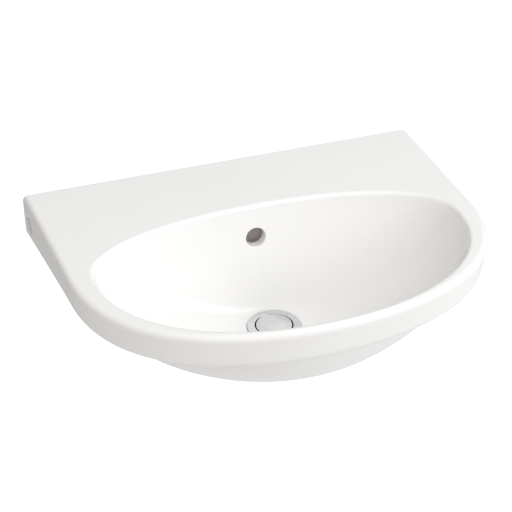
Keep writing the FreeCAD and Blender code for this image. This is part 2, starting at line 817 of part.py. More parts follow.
def crossing_boxes(name, length, width, height, level):
    """Two boxes that cross on the drain's axis."""
    boxes = []
    for index, (along_x, along_y) in enumerate(((length, width), (width, length)), start=1):
        item = at_drain(box(f"{name}_{index}", along_x, along_y, height), level)
        bind(item, {"Placement.Base.x": f"-({along_x}) / 2"})
        bind(item, {"Placement.Base.y": f"-drain_setback - ({along_y}) / 2"})
        boxes.append(item)
    return boxes


def waste_tube():
    height = f"{TUBE_TOP} - {TUBE_FOOT}"
    wall = turned_body("waste_tube_wall", [
        ("tube_bore_radius", "0"),
        ("tube_radius - tube_bevel", "0"),
        ("tube_radius", "tube_bevel"),
        ("tube_radius", "tube_tail - tube_groove_width"),
        ("tube_groove_radius", "tube_tail - tube_groove_width"),
        ("tube_groove_radius", "tube_tail"),
        ("tube_radius", "tube_tail"),
        ("tube_radius", height),
        ("tube_bore_radius", height),
    ])
    at_drain(wall, TUBE_FOOT)
    bridge_foot = f"{BRIDGE_TOP} - bridge_height"
    arms = crossing_boxes(
        "bridge_arm", "tube_radius + tube_bore_radius", "bridge_arm_width", "bridge_height", bridge_foot
    )
    hub = at_drain(cylinder("bridge_hub", "bridge_hub_radius", "bridge_height"), bridge_foot)
    solid = fuse("waste_tube_solid", [wall, hub] + arms)
    thread = cylinder("bridge_thread", "housing_radius + fixed_clearance", "bridge_height + 2 * cut_overrun")
    at_drain(thread, f"{bridge_foot} - cut_overrun")
    gallery_middle = f"{FLOOR} - waste_floor - waste_gallery / 2"
    slots = crossing_boxes(
        "tube_slot",
        "2 * (tube_radius + cut_overrun)",
        "tube_slot_width",
        "tube_slot_height",
        f"{gallery_middle} - tube_slot_height / 2",
    )
    return cut("waste_tube", solid, fuse("waste_tube_openings", [thread] + slots))


def lower_seal():
    bore = "tube_radius + fixed_clearance"
    corners = [
        (bore, "0"),
        ("lower_seal_radius - lower_seal_bevel", "0"),
        ("lower_seal_radius", "lower_seal_bevel"),
        ("lower_seal_radius", "lower_seal_height"),
        (bore, "lower_seal_height"),
    ]
    return at_drain(turned_body("lower_seal", corners), LOWER_SEAL)


def slip_washer():
    corners = ring_corners("tube_radius + fixed_clearance", "slip_washer_radius", "slip_washer_height")
    return at_drain(turned_body("slip_washer", corners), SLIP_WASHER)


def back_nut():
    bore = "tube_radius + fixed_clearance"
    nut = hex_nut("back_nut", "back_nut_corner_radius", bore, "back_nut_height", "back_nut_bevel")
    return at_drain(nut, BACK_NUT)


# Plug and push latch

def plug_cap():
    hole = "plunger_thread_radius + fixed_clearance"
    hole_top = "plug_thread_depth + fixed_clearance"
    groove = "plug_groove_radius"
    groove_middle = "plug_neck_length - plug_groove_drop"
    groove_half = "plug_seal_radius + fixed_clearance"
    top = "plug_neck_length + plug_edge_height + plug_crown"
    turned = turned_body("plug_cap_turned", [
        (hole, "0"),
        ("plug_neck_radius", "0"),
        ("plug_neck_radius", f"{groove_middle} - ({groove_half})"),
        (groove, f"{groove_middle} - ({groove_half})"),
        (groove, f"{groove_middle} + {groove_half}"),
        ("plug_neck_radius", f"{groove_middle} + {groove_half}"),
        ("plug_neck_radius", "plug_neck_length"),
        ("plug_radius - plug_edge_bevel", "plug_neck_length"),
        ("plug_radius", "plug_neck_length + plug_edge_bevel"),
        ("plug_radius", top),
        ("0", top),
        ("0", hole_top),
        (hole, hole_top),
    ])
    dome_radius = "(plug_radius ^ 2 + plug_crown ^ 2) / (2 * plug_crown)"
    dome = bind(DOC.addObject("Part::Sphere", "plug_dome"), {"Radius": dome_radius})
    bind(dome, {"Placement.Base.z": f"{top} - {dome_radius}"})
    cap = DOC.addObject("Part::Common", "plug_cap")
    cap.Base = turned
    cap.Tool = dome
    return at_drain(cap, NECK_FOOT)


def plug_seal():
    """Round ring in the neck's groove, and a flat gasket that shows round the cap's edge."""
    ring = DOC.addObject("Part::Torus", "plug_ring")
    bind(ring, {
        "Radius1": "plug_groove_radius + fixed_clearance + plug_seal_radius",
        "Radius2": "plug_seal_radius",
    })
    at_drain(ring, f"{PLUG_UNDER} - plug_groove_drop")
    bore = "plug_neck_radius + fixed_clearance"
    gasket = turned_body("plug_gasket", ring_corners(bore, "plug_radius + gasket_lip", "gasket_height"))
    at_drain(gasket, f"{PLUG_UNDER} - gasket_height")
    seal = DOC.addObject("Part::Compound", "plug_seal")
    seal.Links = [ring, gasket]
    return seal


def height_nut():
    bore = "plunger_thread_radius + fixed_clearance"
    nut = hex_nut("height_nut", "height_nut_corner_radius", bore, "height_nut_height", "height_nut_bevel")
    return at_drain(nut, HEIGHT_NUT)


def plunger():
    head = "housing_bore_radius - running_clearance"
    shaft_top = f"{HEIGHT_NUT} - {HEAD_FOOT}"
    top = f"{shaft_top} + height_nut_height + plug_thread_depth"
    rod = turned_body("plunger", [
        ("0", "0"),
        (head, "0"),
        (head, "plunger_head_length"),
        ("plunger_radius", "plunger_head_length"),
        ("plunger_radius", shaft_top),
        ("plunger_thread_radius", shaft_top),
        ("plunger_thread_radius", top),
        ("0", top),
    ])
    return at_drain(rod, HEAD_FOOT)


def latch_housing():
    collar_foot = f"{BRIDGE_TOP} - {HOUSING_FOOT}"
    collar_top = f"{collar_foot} + housing_collar_height"
    top = f"{HOUSING_TOP} - {HOUSING_FOOT}"
    roof_bore = "plunger_radius + running_clearance"
    housing = turned_body("latch_housing", [
        ("housing_bore_radius", "0"),
        ("housing_radius", "0"),
        ("housing_radius", collar_foot),
        ("housing_collar_radius", collar_foot),
        ("housing_collar_radius", collar_top),
        ("housing_radius", collar_top),
        ("housing_radius", top),
        (roof_bore, top),
        (roof_bore, f"{top} - housing_roof"),
        ("housing_bore_radius", f"{top} - housing_roof"),
    ])
    return at_drain(housing, HOUSING_FOOT)


def latch_rotor():
    corners = ring_corners("rotor_bore_radius", "housing_bore_radius - running_clearance", "rotor_length")
    ring = at_drain(turned_body("latch_rotor_ring", corners), ROTOR_FOOT)
    notches = crossing_boxes(
        "rotor_notch",
        "2 * housing_radius",
        "rotor_notch_width",
        "rotor_notch_depth + cut_overrun",
        f"{ROTOR_FOOT} + rotor_length - rotor_notch_depth",
    )
    return cut("latch_rotor", ring, fuse("rotor_notches", notches))


def spring_retainer():
    corners = ring_corners("retainer_hole_radius", "housing_bore_radius - fixed_clearance", "retainer_height")
    return at_drain(turned_body("spring_retainer", corners), HOUSING_FOOT)


def helix_point(radius, rise, turns):
    angle = math.tau * turns
    return vec(radius * math.cos(angle), radius * math.sin(angle), rise * turns)


def helix_tangent(radius, rise, turns):
    angle = math.tau * turns
    return vec(-math.tau * radius * math.sin(angle), math.tau * radius * math.cos(angle), rise).normalize()


def arc_from(start, direction, end):
    """Arc that leaves start along direction and ends at end."""
    chord = end - start
    along = chord / chord.Length
    side = (direction - along * direction.dot(along)).normalize()
    sagitta = chord.Length / 2 * math.tan(direction.getAngle(chord) / 2)
    return Part.Arc(start, start + chord / 2 + side * sagitta, end).toShape()


def biarc(start, start_direction, end, end_direction):
    """Two arcs that join two points with given directions."""
    chord = end - start
    both = start_direction + end_direction
    square = 2 * (1 - start_direction.dot(end_direction))
    half_linear = chord.dot(both)
    reach = (math.sqrt(half_linear ** 2 + square * chord.dot(chord)) - half_linear) / square
    middle = (start + end + (start_direction - end_direction) * reach) / 2
    first = arc_from(start, start_direction, middle)
    second = arc_from(end, -end_direction, middle)
    return [first, second]


def latch_spring():
    """Coil spring between the retainer and the rotor, as one tube along quarter turns."""
    radius = size("spring_radius")
    wire = size("spring_wire_radius")
    height = size("spring_length") - 2 * (wire + size("spring_end_gap"))
    rise = height / SPRING_TURNS
    steps_per_turn = 4
    path = []
    for step in range(SPRING_TURNS * steps_per_turn):
        here = step / steps_per_turn
        there = (step + 1) / steps_per_turn
        path += biarc(
            helix_point(radius, rise, here),
            helix_tangent(radius, rise, here),
            helix_point(radius, rise, there),
            helix_tangent(radius, rise, there),
        )
    section = Part.Circle(helix_point(radius, rise, 0), helix_tangent(radius, rise, 0), wire)
    spine = Part.Wire(Part.__sortEdges__(path))
    coil = spine.makePipeShell([Part.Wire(section.toShape())], True, False)
    samples = 12
    turn_gap = min(
        helix_point(radius, rise, 0).distanceToPoint(helix_point(radius, rise, 1 + step / samples / samples))
        for step in range(-samples, samples)
    )
    print("latch spring: least gap between turns", round(turn_gap - 2 * wire, 3))
    spring = DOC.addObject("Part::Feature", "latch_spring")
    spring.Shape = coil
    return at_drain(spring, f"{RETAINER_TOP} + spring_end_gap + spring_wire_radius")


NODES = [
    basin_body(),
    side_plugs(),
    wall_studs(),
    stud_sleeves(),
    stud_washers(),
    stud_nuts(),
    waste_flange(),
    flange_seal(),
    waste_tube(),
    lower_seal(),
    slip_washer(),
    back_nut(),
    plug_cap(),
    plug_seal(),
    height_nut(),
    plunger(),
    latch_housing(),
    latch_rotor(),
    latch_spring(),
    spring_retainer(),
]
DOC.recompute()

for item in DOC.Objects:
    if "Invalid" in item.State or "Error" in item.State:
        raise RuntimeError(f"{item.Name} did not build: {item.State}")
for node in NODES:
    if node.Shape.isNull() or not node.Shape.isValid() or not node.Shape.Solids:
        raise RuntimeError(f"{node.Label} has no valid solid")

os.makedirs("parts", exist_ok=True)
for node in NODES:
    node.Shape.exportStep(f"parts/{node.Label}.step")
    print(f"{node.Label}: {len(node.Shape.Solids)} solid(s), {node.Shape.Volume:.1f} mm3")
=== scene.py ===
import math

import bmesh
import bpy
from mathutils import Matrix, Vector


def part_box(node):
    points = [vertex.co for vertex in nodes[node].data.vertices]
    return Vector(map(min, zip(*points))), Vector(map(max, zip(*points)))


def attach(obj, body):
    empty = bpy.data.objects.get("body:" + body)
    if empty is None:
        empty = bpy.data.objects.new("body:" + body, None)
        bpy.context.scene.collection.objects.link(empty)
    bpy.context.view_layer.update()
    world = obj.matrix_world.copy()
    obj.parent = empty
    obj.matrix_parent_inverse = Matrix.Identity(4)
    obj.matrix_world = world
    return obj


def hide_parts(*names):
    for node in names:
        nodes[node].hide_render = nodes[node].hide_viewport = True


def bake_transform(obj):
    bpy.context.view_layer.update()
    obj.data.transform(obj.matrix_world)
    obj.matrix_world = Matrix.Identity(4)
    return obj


# A wall-hung hand basin with its push waste and wall fixings, in metres. The ceramic body and the covers in
# its flanks are shown as they come; every turned, threaded or wound piece is made again here in finer form.

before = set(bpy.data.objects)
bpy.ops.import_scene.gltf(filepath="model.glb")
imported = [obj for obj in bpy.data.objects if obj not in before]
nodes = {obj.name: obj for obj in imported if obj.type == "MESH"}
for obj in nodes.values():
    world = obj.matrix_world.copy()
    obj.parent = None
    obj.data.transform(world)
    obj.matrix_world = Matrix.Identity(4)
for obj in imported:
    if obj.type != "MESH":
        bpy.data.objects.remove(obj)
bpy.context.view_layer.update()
scene = bpy.context.scene

# Camera: the way it looks, and the framing of a square picture
CAMERA_TARGET = Vector((0, -0.180, 0.050))
CAMERA_DISTANCE = 1.61145
CAMERA_YAW = math.radians(-20.5186)
CAMERA_PITCH = math.radians(31.8136)
PICTURE_PIXELS = 512
FOCAL_PIXELS = 1408.54
FRAMING_PIXELS = (-16.90, -6.67)
SENSOR_WIDTH = 36

# Studio
FLOOR_LEVEL = -1.2
FLOOR_SIZE = 80
FLOOR_COLOUR = (0.93, 0.93, 0.93, 1)
FLOOR_ROUGHNESS = 0.9
FLOOR_GLOW = 0.45
WHITE = (1, 1, 1)
SKY_RIGHT = 0.64
SKY_LEFT = 0.21
SKY_LEFT_COLOUR = (1, 0.95, 0.9)
SKY_TOP = 0.71
SKY_BELOW = 0.87
BOX_TARGET = Vector((0, -0.2, 0))
BOX_DISTANCE = 3.4
BOX_SIZE = 3.1
RIGHT_BOX_DIRECTION = Vector((0.58, -0.5, 0.6))
RIGHT_BOX_POWER = 54
RIGHT_BOX_COLOUR = WHITE
LEFT_BOX_DIRECTION = Vector((-0.3, -0.7, 0.36))
LEFT_BOX_POWER = 44
LEFT_BOX_COLOUR = (1, 0.99, 0.98)

# Fineness of turned pieces
SEGMENTS = 96
STUD_SEGMENTS = 48
NUT_SEGMENTS = 144
NUT_CONE_ROWS = 8
SEAL_RING_SIDES = 24
ROUND_STEPS = 5
BEVEL_STEPS = 3
BEVEL_PROFILE = 0.5
ROWS_PER_PITCH = 12
SMOOTH_ANGLE = math.radians(35)

# Threads, as shares of half a pitch, and hexagonal nuts
THREAD_ROOT_END = 0.14
THREAD_CREST_START = 0.86
NUT_SIDES = 6
NUT_FACE_SHARE = 0.965
NUT_CONE_SLOPE = math.tan(math.radians(60))
NUT_BORE_BEVEL_SHARE = 0.14
NUT_CORNER_SOFTNESS = 24

# Waste flange: radii from the bore outwards, and heights below its top
FLANGE_BORE = 0.0164
FLANGE_SPIGOT = 0.01795
FLANGE_COLLAR = 0.0224
FLANGE_HEIGHT = 0.0028
FLANGE_COLLAR_HEIGHT = 0.0035
FLANGE_DISH = 0.0231
FLANGE_SEAT = 0.0219
FLANGE_DISH_DEPTH = 0.003
FLANGE_EDGE_ROUND = 0.0011
FLANGE_DISH_ROUND = 0.0004

# Plug: cap, neck with its groove, and the hole for the plunger
PLUG_EDGE_HEIGHT = 0.0015
PLUG_CROWN = 0.0012
PLUG_EDGE_ROUND = 0.0007
PLUG_NECK = 0.015
PLUG_GROOVE = 0.0132
PLUG_GROOVE_DROP = 0.003
PLUG_GROOVE_HALF = 0.0016
PLUG_HOLE = 0.00405
PLUG_HOLE_DEPTH = 0.00605
PLUG_RING = 0.00155
GASKET_HEIGHT = 0.0008
GASKET_BORE = 0.01505
DOME_STEPS = 10

# Waste tube: bore, thread, overflow slots and the cross that carries the latch
TUBE_BORE = 0.018
TUBE_PITCH = 0.00231
TUBE_THREAD_DEPTH = 0.0013
TUBE_THREAD_TOP = -0.0905
TUBE_BEVEL = 0.001
TUBE_SLOT_WIDTH = 0.008
TUBE_SLOT_LEVEL = -0.0715
CROSS_TOP = -0.0808
CROSS_HEIGHT = 0.006
CROSS_ARM = 0.004
CROSS_HUB = 0.011
CROSS_BORE = 0.00805
CROSS_ROUND = 0.0007

# Clamping parts and nuts
TUBE_FIT = 0.021
SEAL_BEVEL = 0.0025
SOFT_ROUND = 0.0008
RING_ROUND = 0.0003
STUD_FIT = 0.005
HOUSING_BORE = 0.0065
HOUSING_RADIUS = 0.008
HOUSING_ROOF = 0.003
HOUSING_ROOF_BORE = 0.00508
HOUSING_COLLAR_HEIGHT = 0.005
RETAINER_HOLE = 0.003
PLUNGER_SHAFT = 0.005
PLUNGER_THREAD = 0.004
PLUNGER_PITCH = 0.00125
PLUNGER_THREAD_DEPTH = 0.0006
PLUNGER_HEAD_HEIGHT = 0.008
HEIGHT_NUT_BORE = 0.00405
ROTOR_BORE = 0.0025
ROTOR_TOOTH_HEIGHT = 0.002
ROTOR_TEETH = 4
ROTOR_RAMP_SHARE = 0.9
SPRING_WIRE = 0.00045
SPRING_TURNS = 6
SPRING_END_TURNS = 0.8
SPRING_END_PITCH = 2.2 * SPRING_WIRE
SPRING_STEPS = 32
SPRING_SIDES = 12
SEAL_BORE = 0.023

# Wall studs, from the point in the wall to the front end
STUD_TIP = 0.009
STUD_SHANK = 0.012
STUD_SCREW_PITCH = 0.0045
STUD_SCREW_ROOT = 0.0036
STUD_SCREW_SHARPNESS = 3.0
STUD_NECK = 0.0043
STUD_NECK_LENGTH = 0.002
STUD_THREAD = 0.00485
STUD_THREAD_PITCH = 0.0015
STUD_THREAD_DEPTH = 0.00085
STUD_BEVEL = 0.001
SLEEVE_RADIUS = 0.0079
SLEEVE_FLANGE_HEIGHT = 0.003


# Mesh building

def rounded_corners(corners):
    """Profile points of a closed line through (radius, height, rounding) corners, rounded by arcs."""
    points = []
    count = len(corners)
    for index, (radius, height, rounding) in enumerate(corners):
        here = Vector((radius, height))
        if not rounding:
            points.append(here)
            continue
        before = Vector(corners[index - 1][:2]) - here
        after = Vector(corners[(index + 1) % count][:2]) - here
        half_turn = before.angle(after) / 2
        reach = rounding / math.tan(half_turn)
        start = here + before.normalized() * reach
        end = here + after.normalized() * reach
        half_way = (before.normalized() + after.normalized()).normalized()
        middle = half_way * (rounding / math.sin(half_turn)) + here
        sweep = (start - middle).angle_signed(end - middle)
        for step in range(ROUND_STEPS + 1):
            points.append(middle + Matrix.Rotation(-sweep * step / ROUND_STEPS, 2) @ (start - middle))
    return points


def fixed_ring(point):
    """Ring that is the same all round."""
    return lambda angle: (point[0], point[1])


def revolved(name, rings, segments=SEGMENTS, closed=True):
    """Mesh from rings about the Z axis, each a function from angle to (radius, height). A closed profile
    joins its last ring to its first; an open one ends on the axis."""
    work = bmesh.new()
    angles = [math.tau * step / segments for step in range(segments)]
    loops = []
    for ring in rings:
        spots = [ring(angle) for angle in angles]
        if max(radius for radius, height in spots) == 0:
            pole = work.verts.new((0, 0, spots[0][1]))
            loops.append([pole] * segments)
            continue
        loops.append([
            work.verts.new((radius * math.cos(angle), radius * math.sin(angle), height))
            for angle, (radius, height) in zip(angles, spots)
        ])
    pairs = list(zip(loops, loops[1:]))
    if closed:
        pairs.append((loops[-1], loops[0]))
    for lower, upper in pairs:
        for step in range(segments):
            after = (step + 1) % segments
            corners = [lower[step], lower[after], upper[after], upper[step]]
            work.faces.new(list(dict.fromkeys(corners)))
    bmesh.ops.recalc_face_normals(work, faces=work.faces)
    mesh = bpy.data.meshes.new(name)
    work.to_mesh(mesh)
    work.free()
    return mesh


def turned(name, corners, segments=SEGMENTS):
    """Piece turned from a closed profile of (radius, height, rounding) corners."""
    return revolved(name, [fixed_ring(point) for point in rounded_corners(corners)], segments)


def ring_mesh(name, bore, outside, foot, top, rounding, segments=SEGMENTS):
    """Plain ring with rounded edges."""
    corners = [
        (bore, foot, rounding),
        (outside, foot, rounding),
        (outside, top, rounding),
        (bore, top, rounding),
    ]
    return turned(name, corners, segments)


def ramp_share(value, start, end):
    """Share of the way from start to end, held between 0 and 1."""
    return min(1, max(0, (value - start) / (end - start)))


def thread_ring(height, crest, depth, pitch, sharpness=1.0):
    """Ring of a screw thread at that height; the thread's flanks run from its crest to depth below it."""

    def ring(angle):
        across = abs(2 * ((height / pitch - angle / math.tau) % 1) - 1)
        share = ramp_share(across, THREAD_ROOT_END, THREAD_CREST_START) ** sharpness
        return crest - depth * (1 - share), height

    return ring


def thread_rings(start, end, crest, depth, pitch):
    """Rings of a thread between two heights, run out to its crest at the far end."""
    count = max(2, round(abs(end - start) / pitch * ROWS_PER_PITCH))
    rings = []
    for step in range(count + 1):
        height = start + (end - start) * step / count
        fade = ramp_share(abs(end - height), 0, pitch)
        rings.append(thread_ring(height, crest, depth * fade, pitch))
    return rings


def nut_mesh(name, bore, corner_radius, height):
    """Hexagonal nut with its corners cut back by a cone at both ends, and a bevelled bore."""
    half_side = math.pi / NUT_SIDES
    flat = corner_radius * math.cos(half_side)
    face = flat * NUT_FACE_SHARE
    cone_height = (corner_radius - face) / NUT_CONE_SLOPE
    bore_bevel = (face - bore) * NUT_BORE_BEVEL_SHARE

    def outside(angle):
        reach = 0
        for side in range(NUT_SIDES):
            reach += max(0, math.cos(angle - half_side - side * 2 * half_side)) ** NUT_CORNER_SOFTNESS
        return flat / reach ** (1 / NUT_CORNER_SOFTNESS)

    def ring(level, from_end):
        return lambda angle: (min(outside(angle), face + from_end * NUT_CONE_SLOPE), level)

    rises = [cone_height * step / NUT_CONE_ROWS for step in range(NUT_CONE_ROWS + 1)]
    low = [ring(rise, rise) for rise in rises]
    high = [ring(height - rise, rise) for rise in rises]
    hole = [
        (bore + bore_bevel, height),
        (bore, height - bore_bevel),
        (bore, bore_bevel),
        (bore + bore_bevel, 0),
    ]
    return revolved(name, low + high[::-1] + [fixed_ring(point) for point in hole], NUT_SEGMENTS)


def add_piece(name, mesh, place=(0, 0, 0)):
    """Object whose mesh lies where the piece is, with smooth shading and its sharp edges kept."""
    mesh.transform(Matrix.Translation(place))
    mesh.shade_smooth()
    mesh.set_sharp_from_angle(angle=SMOOTH_ANGLE)
    piece = bpy.data.objects.new(name, mesh)
    scene.collection.objects.link(piece)
    return piece


def even_normals(piece):
    """Shade large faces flat beside narrow roundings."""
    modifier = piece.modifiers.new("even_normals", "WEIGHTED_NORMAL")
    modifier.keep_sharp = True
    return piece


def joined(name, meshes):
    """One mesh of several."""
    work = bmesh.new()
    for mesh in meshes:
        work.from_mesh(mesh)
        bpy.data.meshes.remove(mesh)
    result = bpy.data.meshes.new(name)
    work.to_mesh(result)
    work.free()
    return result


def rounded_box(name, low, high, rounding):
    """Box between two corners, with its edges rounded where rounding isn't 0."""
    work = bmesh.new()
    bmesh.ops.create_cube(work, size=1)
    size = Vector(high) - Vector(low)
    bmesh.ops.scale(work, vec=size, verts=work.verts)
    bmesh.ops.translate(work, vec=(Vector(low) + Vector(high)) / 2, verts=work.verts)
    if rounding:
        bmesh.ops.bevel(
            work,
            geom=work.edges,
            offset=rounding,
            segments=BEVEL_STEPS,
            profile=BEVEL_PROFILE,
            affect="EDGES",
        )
    mesh = bpy.data.meshes.new(name)
    work.to_mesh(mesh)
    work.free()
    return mesh


def combined(mesh, tool_mesh, operation):
    """Mesh joined with, or cut by, another one."""
    base = bpy.data.objects.new("base", mesh)
    tool = bpy.data.objects.new("tool", tool_mesh)
    for item in (base, tool):
        scene.collection.objects.link(item)
    modifier = base.modifiers.new("combine", "BOOLEAN")
    modifier.operation = operation
    modifier.solver = "EXACT"
    modifier.object = tool
    result = bpy.data.meshes.new_from_object(base.evaluated_get(bpy.context.evaluated_depsgraph_get()))
    result.name = mesh.name
    for item, spent in ((base, mesh), (tool, tool_mesh)):
        bpy.data.objects.remove(item)
        bpy.data.meshes.remove(spent)
    return result


# Looks. Shades lie at the two ends of a noise pattern's span, pattern scales are in features per metre and
# bump depths in metres.
NOISE_SPAN = (0.3, 0.7)
GLAZE_SHADES = ((0.885, 0.882, 0.873), (0.905, 0.904, 0.898))
GLAZE_CLOUDS = 9
GLAZE_GLOSS = (0.045, 0.085)
GLAZE_GLOSS_CLOUDS = 45
GLAZE_IOR = 1.52
GLAZE_RIPPLE = 28
GLAZE_RIPPLE_DEPTH = 0.00012
GLAZE_GRAIN = 420
GLAZE_GRAIN_DEPTH = 0.000003
DUCT_SHADES = ((0.84, 0.77, 0.75), (0.90, 0.83, 0.81))
WALL_FACE_SHADES = ((0.66, 0.61, 0.54), (0.74, 0.70, 0.64))
CLAY_GRAIN = 900
CLAY_ROUGHNESS = 0.8
CHROME_SHADES = ((0.67, 0.675, 0.69), (0.73, 0.735, 0.745))
CHROME_PATCHES = 130
CHROME_GLOSS = (0.05, 0.11)
CHROME_GRAIN = 700
CHROME_GRAIN_DEPTH = 0.000004
METAL_BLOTCHES = 160
METAL_BLOTCH_SPAN = (0.32, 0.68)
METAL_SCRATCHES = 900
METAL_SCRATCH_SPAN = (0.25, 0.75)
METAL_SCRATCH_DEPTH = 0.00002
BRASS_SHADES = ((0.50, 0.36, 0.14), (0.66, 0.50, 0.24))
BRASS_GLOSS = (0.22, 0.42)
ZINC_SHADES = ((0.42, 0.43, 0.46), (0.62, 0.62, 0.60))
ZINC_GLOSS = (0.25, 0.45)
SPRING_SHADES = ((0.33, 0.33, 0.35), (0.48, 0.48, 0.50))
SPRING_GLOSS = (0.18, 0.36)
RUBBER_SHADES = ((0.011, 0.011, 0.012), (0.045, 0.044, 0.043))
RUBBER_BLOOM = 240
RUBBER_BLOOM_SPAN = (0.35, 0.75)
RUBBER_GLOSS = (0.52, 0.78)
RUBBER_GRAIN = 1600
RUBBER_GRAIN_DEPTH = 0.00003
PLASTIC_CLOUDS = 90
PLASTIC_GLOSS_CLOUDS = 500
PLASTIC_GRAIN = 1400
NYLON_SHADES = ((0.60, 0.59, 0.54), (0.68, 0.67, 0.62))
NYLON_GLOSS = (0.40, 0.55)
NYLON_GRAIN_DEPTH = 0.00001
COVER_SHADES = ((0.60, 0.59, 0.58), (0.66, 0.65, 0.64))
COVER_GLOSS = (0.2, 0.3)
COVER_GRAIN_DEPTH = 0.000004


# Node materials

def start_material(name):
    material = bpy.data.materials.new(name)
    material.use_nodes = True
    tree = material.node_tree
    return material, tree, tree.nodes["Principled BSDF"]


def object_point(tree):
    return tree.nodes.new("ShaderNodeTexCoord").outputs["Object"]


def noise(tree, scale, detail, stretch=(1, 1, 1)):
    """Cloudy pattern, in features per metre; stretch makes it finer along an axis."""
    mapping = tree.nodes.new("ShaderNodeMapping")
    mapping.inputs["Scale"].default_value = stretch
    tree.links.new(object_point(tree), mapping.inputs["Vector"])
    pattern = tree.nodes.new("ShaderNodeTexNoise")
    pattern.inputs["Scale"].default_value = scale
    pattern.inputs["Detail"].default_value = detail
    tree.links.new(mapping.outputs["Vector"], pattern.inputs["Vector"])
    return pattern.outputs["Fac"]


def between(tree, value, low, high, start=0.0, end=1.0):
    """Value carried over from the range low to high to the range start to end."""
    node = tree.nodes.new("ShaderNodeMapRange")
    for name, number in (("From Min", low), ("From Max", high), ("To Min", start), ("To Max", end)):
        node.inputs[name].default_value = number
    tree.links.new(value, node.inputs["Value"])
    return node.outputs["Result"]


def calculated(tree, operation, first, second):
    node = tree.nodes.new("ShaderNodeMath")
    node.operation = operation
    tree.links.new(first, node.inputs[0])
    tree.links.new(second, node.inputs[1])
    return node.outputs["Value"]


def product(tree, first, second):
    return calculated(tree, "MULTIPLY", first, second)


def total(tree, first, second):
    return calculated(tree, "ADD", first, second)


def larger(tree, first, second):
    return calculated(tree, "MAXIMUM", first, second)


def colours(tree, share, shades, span=NOISE_SPAN):
    """Colour ramp from the first shade to the second while share runs over the span."""
    node = tree.nodes.new("ShaderNodeValToRGB")
    for element, position, shade in zip(node.color_ramp.elements, span, shades):
        element.position = position
        element.color = (*shade, 1)
    tree.links.new(share, node.inputs["Fac"])
    return node.outputs["Color"]


def mixed(tree, share, first, second):
    """Two colour sockets mixed by share."""
    node = tree.nodes.new("ShaderNodeMix")
    node.data_type = "RGBA"
    tree.links.new(share, node.inputs["Factor"])
    tree.links.new(first, node.inputs["A"])
    tree.links.new(second, node.inputs["B"])
    return node.outputs["Result"]


def add_bump(tree, shader, height, distance):
    """Bump on top of any bump that the shader has already."""
    node = tree.nodes.new("ShaderNodeBump")
    node.inputs["Strength"].default_value = 1
    node.inputs["Distance"].default_value = distance
    tree.links.new(height, node.inputs["Height"])
    before = shader.inputs["Normal"]
    if before.is_linked:
        tree.links.new(before.links[0].from_socket, node.inputs["Normal"])
    tree.links.new(node.outputs["Normal"], before)


def axis_values(tree):
    node = tree.nodes.new("ShaderNodeSeparateXYZ")
    tree.links.new(object_point(tree), node.inputs["Vector"])
    return node.outputs["X"], node.outputs["Y"], node.outputs["Z"]


def inside_range(tree, value, low, high, edge):
    """1 where the value lies between low and high, falling to 0 over the edge."""
    return product(
        tree,
        between(tree, value, low - edge, low + edge),
        between(tree, value, high + edge, high - edge),
    )


def inside_box(tree, low, high, edge):
    """1 inside the box between two corners, falling to 0 over the edge."""
    shares = [inside_range(tree, *part) for part in zip(axis_values(tree), low, high, [edge] * 3)]
    return product(tree, product(tree, shares[0], shares[1]), shares[2])


def inside_hole(tree, middle, radius, edge):
    """1 within that radius of a line along Y through the middle."""
    flatten = tree.nodes.new("ShaderNodeVectorMath")
    flatten.operation = "MULTIPLY"
    flatten.inputs[1].default_value = (1, 0, 1)
    tree.links.new(object_point(tree), flatten.inputs[0])
    distance = tree.nodes.new("ShaderNodeVectorMath")
    distance.operation = "DISTANCE"
    distance.inputs[1].default_value = (middle[0], 0, middle[2])
    tree.links.new(flatten.outputs["Vector"], distance.inputs[0])
    return between(tree, distance.outputs["Value"], radius + edge, radius - edge)


# Places on the ceramic that carry no white glaze: the overflow duct and the face against the wall
OVERFLOW_MIDDLE = (0, -0.123, 0.033)
OVERFLOW_RADIUS = 0.0121
OVERFLOW_FRONT = -0.1165
CHAMBER_LOW = (-0.0225, -0.1135, -0.018)
CHAMBER_HIGH = (0.0225, -0.0905, 0.0632)
MASK_EDGE = 0.0002
WALL_FACE_DEPTH = 0.0006


